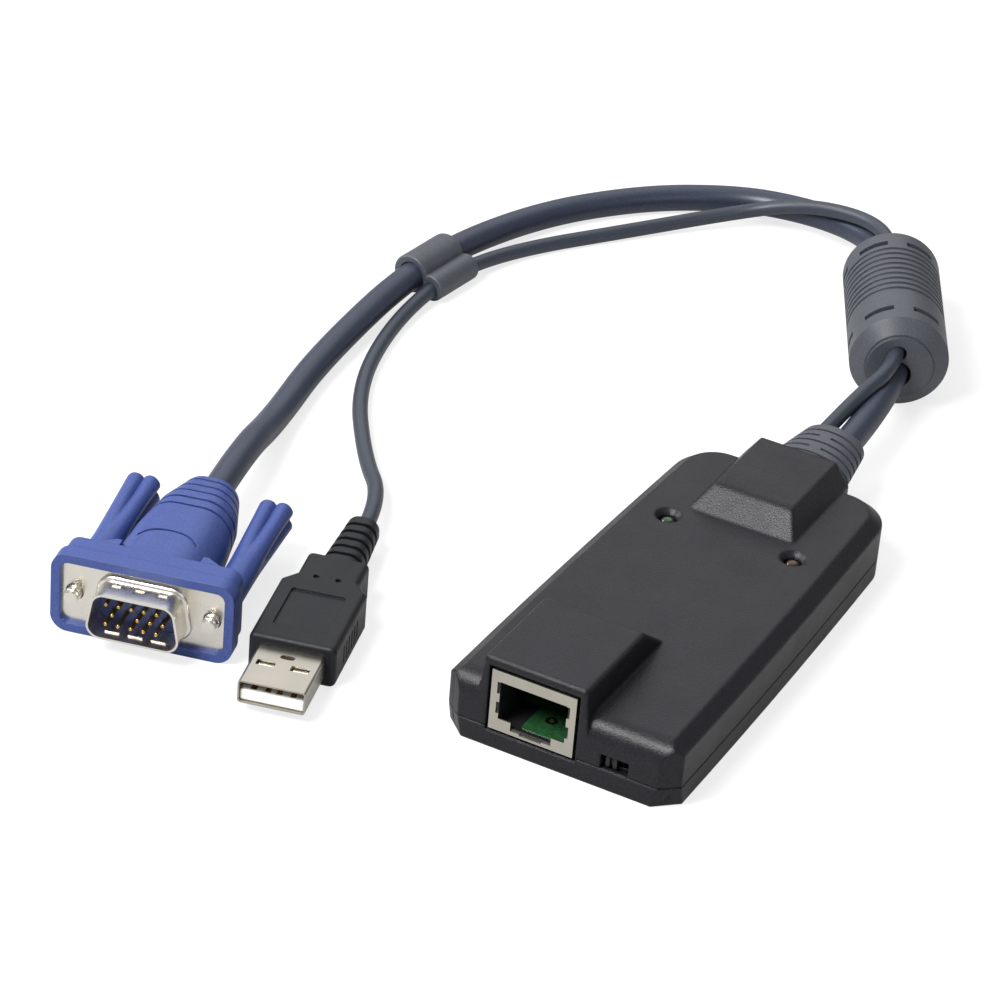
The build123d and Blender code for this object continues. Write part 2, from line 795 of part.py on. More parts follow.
video_cord = cord(video_path, video_cord_diameter)
video_cord.label = "video_cord"
export_step(video_cord, "parts/video_cord.step")
data_cord = cord(data_path, data_cord_diameter)
data_cord.label = "data_cord"
export_step(data_cord, "parts/data_cord.step")
for name, tube, path, radius in (
    ("video", video_cord, video_path, video_radius), ("data", data_cord, data_path, data_radius),
):
    full_volume = pi * radius ** 2 * path.length
    print(name, "cord length", round(path.length, 1), "volume ratio", round(tube.volume / full_volume, 4))

# cable boot: oval taper with staggered relief slots, gripping both cords
with BuildPart() as cable_boot:
    with BuildSketch(rear_plane.offset(-wall)):
        Ellipse(boot_root_width / 2, boot_root_height / 2)
    with BuildSketch(rear_plane.offset(boot_length)):
        Ellipse(boot_tip_width / 2, boot_tip_height / 2)
    loft()
    fillet(cable_boot.faces().sort_by(Axis.Y)[-1].edges(), boot_tip_edge)
    for number in range(boot_rings):
        start = boot_ring_first + number * boot_ring_pitch
        share = start / boot_length
        core_width = boot_root_width + (boot_tip_width - boot_root_width) * share - 2 * boot_ring_depth
        core_height = boot_root_height + (boot_tip_height - boot_root_height) * share - 2 * boot_ring_depth
        with BuildSketch(rear_plane.offset(start)):
            Rectangle(2 * boot_root_width, 2 * boot_root_height)
            Ellipse(core_width / 2, core_height / 2, mode=Mode.SUBTRACT)
            if number % 2:
                Rectangle(boot_bridge, 2 * boot_root_height, mode=Mode.SUBTRACT)
            with Locations((0, boot_side_level)):
                with GridLocations(core_width, 0, 2, 1):
                    Rectangle(*boot_side_bridge, mode=Mode.SUBTRACT)
        extrude(amount=boot_ring_width, mode=Mode.SUBTRACT)
    with BuildSketch(rear_plane.offset(-wall)):
        with Locations((0, inner_top - boot_gap - boot_flange_height / 2 - cord_height)):
            Rectangle(boot_root_width + 2 * boot_flange, boot_flange_height)
    extrude(amount=-boot_flange_length)
    add(video_cord, mode=Mode.SUBTRACT)
    add(data_cord, mode=Mode.SUBTRACT)
cable_boot.part.label = "cable_boot"
export_step(cable_boot.part, "parts/cable_boot.step")

# interference barrel: ferrite tube inside a moulded cover with ring grooves
barrel_run = Vector(ferrite_far[0] - ferrite_near[0], ferrite_far[1] - ferrite_near[1], 0)
barrel_length = barrel_run.length
barrel_near = Vector(ferrite_near[0], ferrite_near[1], ferrite_radius)
barrel_side = Vector(barrel_run.Y, -barrel_run.X, 0)
barrel_plane = Plane(origin=barrel_near, x_dir=-barrel_side, z_dir=barrel_run)
ring_start = barrel_length * ferrite_ring_start
with BuildPart() as ferrite_cover:
    with BuildSketch(barrel_plane):
        Circle(ferrite_radius)
    extrude(amount=barrel_length)
    for end, reach in ((0, -ferrite_dome), (barrel_length, ferrite_dome)):
        with BuildSketch(barrel_plane.offset(end)):
            Circle(ferrite_radius)
        with BuildSketch(barrel_plane.offset(end + reach)):
            Circle(ferrite_face_radius)
        loft()
    for number in range(ferrite_rings):
        with BuildSketch(barrel_plane.offset(ring_start + number * ferrite_ring_pitch)):
            Circle(ferrite_radius + ferrite_ring_depth)
            Circle(ferrite_radius - ferrite_ring_depth, mode=Mode.SUBTRACT)
        extrude(amount=ferrite_ring_width, mode=Mode.SUBTRACT)
    for station in (ferrite_slot_inset, barrel_length - ferrite_slot_inset - ferrite_slot_width):
        with BuildSketch(barrel_plane.offset(station)):
            with PolarLocations(ferrite_radius, ferrite_slot_count):
                Rectangle(2 * ferrite_slot_depth, ferrite_radius * radians(ferrite_slot_turn))
        extrude(amount=ferrite_slot_width, mode=Mode.SUBTRACT)
    with BuildSketch(barrel_plane.offset(core_inset)):
        Circle(core_radius)
    extrude(amount=barrel_length - 2 * core_inset, mode=Mode.SUBTRACT)
    with BuildSketch(barrel_plane.offset(core_inset)):
        SlotOverall(bore_height, bore_width, rotation=90)
    extrude(amount=barrel_length - 2 * core_inset)
    with BuildSketch(barrel_plane.offset(-ferrite_dome - ferrite_lip)):
        Circle(ferrite_disc_radius)
    extrude(amount=core_inset)
    with BuildSketch(barrel_plane.offset(barrel_length + ferrite_dome + ferrite_lip)):
        Circle(ferrite_disc_radius)
    extrude(amount=-core_inset)
    add(video_cord, mode=Mode.SUBTRACT)
    add(data_cord, mode=Mode.SUBTRACT)
ferrite_cover.part.label = "ferrite_cover"
export_step(ferrite_cover.part, "parts/ferrite_cover.step")

with BuildPart() as ferrite_core:
    with BuildSketch(barrel_plane.offset(core_inset)):
        Circle(core_radius)
        SlotOverall(bore_height, bore_width, rotation=90, mode=Mode.SUBTRACT)
    extrude(amount=barrel_length - 2 * core_inset)
ferrite_core.part.label = "ferrite_core"
export_step(ferrite_core.part, "parts/ferrite_core.step")

# clip with a large loop round the thick cord and a small one round the thin cord
clip_plane = plug_plane((clip_place[0], clip_place[1], 0), clip_turn)
clip_loops = (
    (0, clip_video_height, video_radius), (clip_spacing, clip_data_height, data_radius),
)
with BuildPart() as cable_clip:
    with BuildSketch(clip_plane):
        for across, up, radius in clip_loops:
            with Locations((across, up)):
                Circle(radius + clip_wall)
    extrude(amount=clip_length / 2, both=True)
    clip_ends = cable_clip.faces().filter_by(clip_plane)
    fillet(clip_ends.edges(), clip_edge)
    add(video_cord, mode=Mode.SUBTRACT)
    add(data_cord, mode=Mode.SUBTRACT)
cable_clip.part.label = "cable_clip"
export_step(cable_clip.part, "parts/cable_clip.step")


def shell_profile(inset):
    """D-shaped outline of the display plug's shell, narrow side up, pulled in by an inset."""
    narrow = shell_wide - 2 * shell_height * tan(radians(shell_slope))
    with BuildSketch() as outline:
        with BuildLine():
            Polyline(
                (-shell_wide / 2, -shell_height / 2), (shell_wide / 2, -shell_height / 2),
                (narrow / 2, shell_height / 2), (-narrow / 2, shell_height / 2), close=True,
            )
        make_face()
        fillet(outline.vertices(), shell_corner)
        if inset:
            offset(amount=-inset)
    return outline.sketch


display_axis = Axis(display_plane.origin, display_plane.z_dir)
display_top = Plane(origin=display_plug_place, x_dir=display_plane.x_dir, z_dir=(0, 0, 1))
hood_sections = (
    (hood_start, hood_front), (hood_stations[0], hood_middle), (hood_stations[1], hood_neck),
    (hood_stations[2], hood_tip),
)
with BuildPart() as crescent_cut:
    with BuildSketch(display_top):
        with Locations((0, crescent_back - crescent_radius)):
            Circle(crescent_radius)
            Circle(crescent_radius - crescent_width, mode=Mode.SUBTRACT)
        with Locations((0, crescent_back - crescent_radius)):
            Rectangle(2 * crescent_reach, 3 * crescent_radius,
                      align=(Align.CENTER, Align.MIN), mode=Mode.INTERSECT)
    extrude(amount=frame_height / 2)
    for station, (width, height) in hood_sections[:2]:
        with BuildSketch(display_plane.offset(-station)):
            RectangleRounded(width - 2 * crescent_depth, height - 2 * crescent_depth,
                             hood_share * (height - 2 * crescent_depth))
    loft(mode=Mode.SUBTRACT)

# display plug hood: rim round the metal plate, stepped collar, tapering body with relief rings
with BuildPart() as display_hood:
    with BuildSketch(display_plane.offset(frame_front)):
        RectangleRounded(frame_width, frame_height, frame_corner)
    extrude(amount=-frame_depth)
    with BuildSketch(display_plane.offset(frame_front - frame_depth)):
        RectangleRounded(frame_width - 2 * collar_inset, frame_height - 2 * collar_inset,
                         frame_corner - collar_inset)
    extrude(amount=frame_depth - frame_front - collar_depth)
    stations = (hood_start,) + hood_stations
    sections = (hood_front, hood_middle, hood_neck, hood_tip)
    for start, stop, near, far in zip(stations, stations[1:], sections, sections[1:]):
        for station, (width, height) in ((start, near), (stop, far)):
            with BuildSketch(display_plane.offset(-station)):
                RectangleRounded(width, height, hood_share * height)
        loft()
    fillet(display_hood.faces().group_by(display_axis)[0].edges(), hood_end_edge)
    for number in range(hood_rings):
        start = hood_ring_first + number * hood_ring_pitch
        share = max(0, (start - hood_stations[1]) / (hood_stations[2] - hood_stations[1]))
        early = max(0, (hood_stations[1] - start) / (hood_stations[1] - hood_stations[0]))
        widths = (hood_middle[0], hood_neck[0], hood_tip[0])
        heights = (hood_middle[1], hood_neck[1], hood_tip[1])
        width = widths[1] + (widths[2] - widths[1]) * share + (widths[0] - widths[1]) * early
        height = heights[1] + (heights[2] - heights[1]) * share + (heights[0] - heights[1]) * early
        with BuildSketch(display_plane.offset(-start)):
            Rectangle(frame_width / 2 + width / 2, frame_height)
            RectangleRounded(width - 2 * hood_ring_depth, height - 2 * hood_ring_depth,
                             hood_share * (height - 2 * hood_ring_depth), mode=Mode.SUBTRACT)
        extrude(amount=-hood_ring_width, mode=Mode.SUBTRACT)
    # gussets between the collar and the body
    with BuildSketch(display_top):
        for side in (-1, 1):
            with BuildLine():
                Polyline(
                    (side * gusset[0], collar_depth - gusset_root),
                    (side * gusset[1], collar_depth - gusset_root),
                    (side * gusset[2], gusset[3]), (side * gusset[0], gusset[3]), close=True,
                )
            make_face()
    extrude(amount=gusset_height / 2, both=True)
    with BuildSketch(display_plane.offset(-thumb_start + thumb_gap)):
        with GridLocations(screw_spacing, 0, 2, 1):
            Circle(thumb_shank_radius + thumb_gap)
    extrude(amount=-hood_start, mode=Mode.SUBTRACT)
    # seat of the metal plate, room for the insulator, holes for the thumbscrew pins
    with BuildSketch(display_plane.offset(frame_front)):
        RectangleRounded(plate_width, plate_height, plate_corner)
    extrude(amount=-frame_front - plate_thickness, mode=Mode.SUBTRACT)
    with BuildSketch(display_plane.offset(-plate_thickness)):
        add(shell_profile(shell_wall))
    extrude(amount=plate_thickness - insulator_back, mode=Mode.SUBTRACT)
    with BuildSketch(display_plane):
        with GridLocations(screw_spacing, 0, 2, 1):
            Circle(thumb_pin_radius + thumb_fit)
    extrude(amount=-collar_depth - thumb_gap, mode=Mode.SUBTRACT)
    add(crescent_cut.part, mode=Mode.SUBTRACT)
display_hood.part.label = "display_hood"
export_step(display_hood.part, "parts/display_hood.step")

# nickel shell of the display plug: plate, rounded bead and D-shaped tube with three dimples
with BuildPart() as display_shell:
    with BuildSketch(display_plane):
        RectangleRounded(plate_width, plate_height, plate_corner)
    extrude(amount=-plate_thickness)
    with BuildSketch(display_plane):
        add(shell_profile(-bead_width))
    extrude(amount=bead_reach)
    bead_top = display_shell.faces().group_by(display_axis)[-1]
    fillet(bead_top.edges(), bead_round)
    with BuildSketch(display_plane):
        add(shell_profile(0))
    extrude(amount=shell_reach)
    with BuildSketch(display_plane.offset(-plate_thickness)):
        add(shell_profile(shell_wall))
    extrude(amount=2 * shell_reach, mode=Mode.SUBTRACT)
    with BuildSketch(display_plane):
        with GridLocations(screw_spacing, 0, 2, 1):
            Circle(screw_hole_radius)
    extrude(amount=-plate_thickness, mode=Mode.SUBTRACT)
    # dimples pressed inward, three on each wide face
    bulge = shell_wall + dimple_depth
    for reach, spread, mode in ((bulge, shell_wall, Mode.ADD), (dimple_depth, 0, Mode.SUBTRACT)):
        with BuildSketch(display_plane.offset(shell_reach - dimple_back + spread)):
            for level in (reach / 2 - shell_height / 2, shell_height / 2 - reach / 2):
                with Locations((0, level)):
                    with GridLocations(dimple_pitch, 0, 3, 1):
                        Rectangle(dimple_width + 2 * spread, reach)
        extrude(amount=-dimple_length - 2 * spread, mode=mode)
display_shell.part.label = "display_shell"
export_step(display_shell.part, "parts/display_shell.step")

# fourteen pins in three rows, one place of the middle row left empty
pin_places = []
for row, shift in ((1, -pin_pitch / 4), (0, pin_pitch / 4), (-1, -pin_pitch / 4)):
    for column in range(5):
        if row or column != 1:
            pin_places.append((shift + (column - 2) * pin_pitch, row * pin_row))
with BuildPart() as display_pins:
    with BuildSketch(display_plane.offset(-pin_root)):
        with Locations(*pin_places):
            Circle(pin_radius)
    extrude(amount=pin_root + pin_reach)
    pin_tips = display_pins.faces().group_by(display_axis)[-1]
    fillet(pin_tips.edges(), pin_tip_round)
display_pins.part.label = "display_pins"
export_step(display_pins.part, "parts/display_pins.step")

with BuildPart() as display_insulator:
    with BuildSketch(display_plane.offset(insulator_front)):
        add(shell_profile(shell_wall))
    extrude(amount=-insulator_front - insulator_back)
    with BuildSketch(display_plane.offset(-pin_root)):
        with Locations(*pin_places):
            Circle(pin_radius)
    extrude(amount=pin_root + insulator_front, mode=Mode.SUBTRACT)
display_insulator.part.label = "display_insulator"
export_step(display_insulator.part, "parts/display_insulator.step")


def thumb_knob(side):
    """Moulded grip of a thumbscrew: round shank that opens into four rounded lobes."""
    turning = Plane(
        origin=display_plane.from_local_coords((side * screw_spacing / 2, 0, 0)),
        x_dir=display_plane.x_dir, z_dir=display_plane.z_dir,
    )
    with BuildPart() as knob:
        with BuildSketch(turning.offset(-thumb_start)):
            Circle(thumb_shank_radius)
        extrude(amount=thumb_start - thumb_flare)
        with BuildSketch(turning.offset(-thumb_flare)):
            Circle(thumb_core_radius)
        extrude(amount=thumb_flare - thumb_end + thumb_core_step)
        for number in range(thumb_lobes):
            angle = radians(45 + 360 / thumb_lobes * number)
            for reach, radius, station in (
                (thumb_lobe_near, thumb_lobe_radius, thumb_flare - thumb_core_radius),
                (thumb_lobe_far, thumb_lobe_radius, thumb_end),
            ):
                with BuildSketch(turning.offset(-station)):
                    with Locations((reach * cos(angle), reach * sin(angle))):
                        Circle(radius)
            loft()
        fillet(knob.faces().group_by(display_axis)[0].edges(), thumb_end_edge)
        with BuildSketch(turning.offset(-thumb_start)):
            Circle(thumb_pin_radius)
        extrude(amount=thumb_start - thumb_pin_root, mode=Mode.SUBTRACT)
    return knob.part


def thumb_pin(side):
    """Steel pin of a thumbscrew, threaded at its front end."""
    turning = Plane(
        origin=display_plane.from_local_coords((side * screw_spacing / 2, 0, 0)),
        x_dir=display_plane.x_dir, z_dir=display_plane.z_dir,
    )
    with BuildPart() as pin:
        with BuildSketch(turning.offset(-thumb_pin_root)):
            Circle(thumb_pin_radius)
        extrude(amount=thumb_pin_root + thumb_pin_front)
        fillet(pin.faces().group_by(display_axis)[-1].edges(), thumb_pin_edge)
    return pin.part


thumb_parts = {}
for side, word in ((-1, "left"), (1, "right")):
    thumb_parts[word + "_thumb_grip"] = thumb_knob(side)
    thumb_parts[word + "_thumb_pin"] = thumb_pin(side)
for name, piece in thumb_parts.items():
    piece.label = name
    export_step(piece, "parts/" + name + ".step")

# data plug: folded sheet shell with two latch windows and an oval hole on each face
data_axis = Axis(data_plane.origin, data_plane.z_dir)
data_top = Plane(origin=data_plug_place, x_dir=data_plane.x_dir, z_dir=(0, 0, 1))
shell_back = shell_out + shell_in
with BuildPart() as data_shell:
    with BuildSketch(data_plane):
        RectangleRounded(shell_box[0], shell_box[1], 2 * shell_sheet)
        RectangleRounded(shell_box[0] - 2 * shell_sheet, shell_box[1] - 2 * shell_sheet, shell_sheet,
                         mode=Mode.SUBTRACT)
    extrude(amount=-shell_back)
    with BuildSketch(data_top):
        with Locations((0, window_back)):
            with GridLocations(2 * window_x, 0, 2, 1):
                Rectangle(*window_size)
        with Locations((0, round_hole_back)):
            SlotOverall(*round_hole)
    extrude(amount=shell_box[1], both=True, mode=Mode.SUBTRACT)
data_shell.part.label = "data_shell"
export_step(data_shell.part, "parts/data_shell.step")

# contact strips on the upper face of the tongue, each bent down at the front
tongue_top = tongue_height - shell_box[1] / 2 + shell_sheet
tongue_middle = tongue_top - tongue_height / 2
tongue_plane = Plane(
    origin=data_plane.from_local_coords((0, tongue_middle, 0)),
    x_dir=data_plane.x_dir, z_dir=data_plane.z_dir,
)
with BuildPart() as data_strips:
    for across in strip_places:
        with BuildSketch(tongue_plane.offset(-strip_front)):
            with Locations((across, (tongue_height - strip_height) / 2)):
                Rectangle(strip_width, strip_height)
        extrude(amount=strip_front - tongue_back + strip_front)
data_strips.part.label = "data_strips"
export_step(data_strips.part, "parts/data_strips.step")

with BuildPart() as data_tongue:
    with BuildSketch(tongue_plane.offset(-tongue_front)):
        RectangleRounded(shell_box[0] - 2 * shell_sheet, tongue_height, shell_sheet)
    extrude(amount=tongue_front - shell_out)
    front_edges = data_tongue.faces().group_by(data_axis)[-1].edges()
    chamfer(front_edges, tongue_edge)
    with BuildSketch(data_plane.offset(-shell_out)):
        RectangleRounded(shell_box[0] - 2 * shell_sheet, shell_box[1] - 2 * shell_sheet, shell_sheet)
    extrude(amount=shell_out - tongue_back)
    add(data_strips.part, mode=Mode.SUBTRACT)
data_tongue.part.label = "data_tongue"
export_step(data_tongue.part, "parts/data_tongue.step")

# moulded grip of the data plug: block, shoulders, neck and ringed strain relief
with BuildPart() as data_grip:
    with BuildSketch(data_plane.offset(-shell_out)):
        RectangleRounded(grip_width, grip_height, grip_corner)
    extrude(amount=shell_out - grip_end)
    with BuildSketch(data_plane.offset(-grip_end)):
        RectangleRounded(grip_width, grip_height, grip_corner)
    with BuildSketch(data_plane.offset(-grip_shoulder)):
        RectangleRounded(grip_neck_width, grip_height, grip_corner)
    loft()
    with BuildSketch(data_plane.offset(-grip_shoulder)):
        RectangleRounded(grip_neck_width, grip_height, grip_corner)
    extrude(amount=grip_shoulder - grip_neck_end)
    fillet(data_grip.faces().group_by(data_axis)[-1].edges(), grip_front_edge)
    fillet(data_grip.faces().group_by(data_axis)[0].edges(), grip_edge)
    for station, (width, height) in ((grip_neck_end, relief_root), (relief_end, relief_tip)):
        with BuildSketch(data_plane.offset(-station)):
            RectangleRounded(width, height, relief_share * height)
    loft()
    for number in range(relief_rings):
        start = relief_ring_first + number * relief_ring_pitch
        share = (start - grip_neck_end) / (relief_end - grip_neck_end)
        width = relief_root[0] + (relief_tip[0] - relief_root[0]) * share - 2 * relief_ring_depth
        height = relief_root[1] + (relief_tip[1] - relief_root[1]) * share - 2 * relief_ring_depth
        with BuildSketch(data_plane.offset(-start)):
            Rectangle(grip_width, grip_height)
            RectangleRounded(width, height, relief_share * height, mode=Mode.SUBTRACT)
        extrude(amount=-relief_ring_width, mode=Mode.SUBTRACT)
    # sunk panel on both faces
    for side in (-1, 1):
        with BuildSketch(data_top.offset(side * grip_height / 2)):
            with Locations((0, (panel_front + panel_back) / 2)):
                RectangleRounded(panel_width, panel_back - panel_front, panel_corner)
        extrude(amount=-side * panel_depth, mode=Mode.SUBTRACT)
    with BuildSketch(data_top.offset(grip_height / 2)):
        with Locations((0, pip_back)):
            with GridLocations(2 * pip_x, 0, 2, 1):
                Circle(pip_radius)
    extrude(amount=-pip_depth, mode=Mode.SUBTRACT)
    # grip slots on both sides
    for number in range(rib_count):
        with BuildSketch(data_plane.offset(-rib_first - number * rib_pitch)):
            with GridLocations(grip_width, 0, 2, 1):
                SlotOverall(rib_length, 2 * rib_depth, rotation=90)
        extrude(amount=-rib_width, mode=Mode.SUBTRACT)
    # room for the shell and what it holds
    with BuildSketch(data_plane.offset(-shell_out)):
        RectangleRounded(shell_box[0], shell_box[1], 2 * shell_sheet)
    extrude(amount=-shell_in, mode=Mode.SUBTRACT)
data_grip.part.label = "data_grip"
export_step(data_grip.part, "parts/data_grip.step")
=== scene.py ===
import bpy
import bmesh
import math
from mathutils import Matrix, Vector


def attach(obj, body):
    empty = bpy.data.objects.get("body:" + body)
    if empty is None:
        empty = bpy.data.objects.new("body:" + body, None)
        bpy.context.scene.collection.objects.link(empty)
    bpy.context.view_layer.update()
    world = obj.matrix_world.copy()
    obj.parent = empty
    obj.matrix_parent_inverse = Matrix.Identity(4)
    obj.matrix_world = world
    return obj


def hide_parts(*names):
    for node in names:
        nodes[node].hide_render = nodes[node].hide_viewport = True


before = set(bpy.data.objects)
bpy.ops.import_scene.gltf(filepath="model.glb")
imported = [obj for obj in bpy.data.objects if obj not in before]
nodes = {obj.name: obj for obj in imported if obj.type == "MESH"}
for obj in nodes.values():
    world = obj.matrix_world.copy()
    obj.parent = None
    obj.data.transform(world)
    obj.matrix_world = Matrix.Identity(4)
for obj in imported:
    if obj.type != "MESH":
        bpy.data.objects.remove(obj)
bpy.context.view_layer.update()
mm = 0.001
caseBody = "case_and_cords"


# colours are written as sRGB hex, and shaders want them linear
def linear(hexColour):
    parts = [int(hexColour[i:i + 2], 16) / 255 for i in (1, 3, 5)]
    return [p / 12.92 if p <= 0.04045 else ((p + 0.055) / 1.055) ** 2.4 for p in parts] + [1.0]


# adds one node with its settings and links; an input is given by its name, or by i and its number
def add(tree, kind, settings=None, **inputs):
    node = tree.nodes.new(kind)
    for key, value in (settings or {}).items():
        setattr(node, key, value)
    for key, value in inputs.items():
        key = int(key[1:]) if key[0] == "i" and key[1:].isdigit() else key.replace("_", " ")
        socket = node.inputs[key]
        if isinstance(value, bpy.types.NodeSocket):
            tree.links.new(value, socket)
        else:
            socket.default_value = value
    return node


def newMaterial(name):
    mat = bpy.data.materials.new(name)
    mat.use_nodes = True
    mat.node_tree.nodes.clear()
    return mat, mat.node_tree


def finishMaterial(tree, shader):
    out = add(tree, "ShaderNodeOutputMaterial")
    tree.links.new(shader, out.inputs["Surface"])


# moulded plastic: fine grain in tone and relief, broad clouds in gloss
plasticNoise = dict(speckle=(0.4, 0.7), cloud=(0.3, 0.7), glossSpread=0.04, edge=0.3 * mm, specular=0.5)


def mouldedPlastic(name, look):
    look = {**plasticNoise, **look}
    mat, tree = newMaterial(name)
    place = add(tree, "ShaderNodeTexCoord").outputs["Object"]
    grain = add(tree, "ShaderNodeTexNoise", None, Vector=place, Scale=1 / look["grain"], Detail=2.0,
                Roughness=0.6)
    cloud = add(tree, "ShaderNodeTexNoise", None, Vector=place, Scale=1 / look["clouds"], Detail=3.0)
    speckle = add(tree, "ShaderNodeMapRange", None, Value=grain.outputs["Fac"], From_Min=look["speckle"][0],
                  From_Max=look["speckle"][1])
    tone = add(tree, "ShaderNodeMix", {"data_type": "RGBA"}, Factor=speckle.outputs["Result"],
               A=linear(look["dark"]), B=linear(look["light"]))
    rough = add(tree, "ShaderNodeMapRange", None, Value=cloud.outputs["Fac"], From_Min=look["cloud"][0],
                From_Max=look["cloud"][1], To_Min=look["rough"] - look["glossSpread"],
                To_Max=look["rough"] + look["glossSpread"])
    # the bevel rounds small edges, which gives moulded corners their thin glint
    soft = add(tree, "ShaderNodeBevel", {"samples": 4}, Radius=look["edge"])
    bump = add(tree, "ShaderNodeBump", None, Strength=look["bump"], Distance=look["depth"],
               Height=grain.outputs["Fac"], Normal=soft.outputs["Normal"])
    shader = add(tree, "ShaderNodeBsdfPrincipled", None, Base_Color=tone.outputs["Result"],
                 Roughness=rough.outputs["Result"], IOR=1.5, Specular_IOR_Level=look["specular"],
                 Normal=bump.outputs["Normal"])
    finishMaterial(tree, shader.outputs["BSDF"])
    return mat


# plated sheet: tone and gloss drift together in broad clouds, over a faint rolled texture
metalNoise = dict(glossSpread=0.06)


def platedMetal(name, look):
    mat, tree = newMaterial(name)
    place = add(tree, "ShaderNodeTexCoord").outputs["Object"]
    fine = add(tree, "ShaderNodeTexNoise", None, Vector=place, Scale=1 / look["grain"], Detail=3.0)
    wide = add(tree, "ShaderNodeTexNoise", None, Vector=place, Scale=1 / look["clouds"], Detail=2.0)
    tone = add(tree, "ShaderNodeMix", {"data_type": "RGBA"}, Factor=wide.outputs["Fac"],
               A=linear(look["dark"]), B=linear(look["light"]))
    rough = add(tree, "ShaderNodeMapRange", None, Value=wide.outputs["Fac"],
                To_Min=look["rough"] - metalNoise["glossSpread"],
                To_Max=look["rough"] + metalNoise["glossSpread"])
    bump = add(tree, "ShaderNodeBump", None, Strength=look["bump"], Distance=look["depth"],
               Height=fine.outputs["Fac"])
    shader = add(tree, "ShaderNodeBsdfPrincipled", None, Base_Color=tone.outputs["Result"], Metallic=1.0,
                 Roughness=rough.outputs["Result"], Normal=bump.outputs["Normal"])
    finishMaterial(tree, shader.outputs["BSDF"])
    return mat


# cast epoxy of a lamp: smooth and glossy, with light that spreads a little inside it
def lens(name, look):
    mat, tree = newMaterial(name)
    shader = add(tree, "ShaderNodeBsdfPrincipled", None, Base_Color=linear(look["colour"]),
                 Roughness=look["rough"], IOR=1.57, Subsurface_Weight=0.4, Subsurface_Radius=(mm, mm, mm),
                 Transmission_Weight=look["clear"])
    finishMaterial(tree, shader.outputs["BSDF"])
    return mat


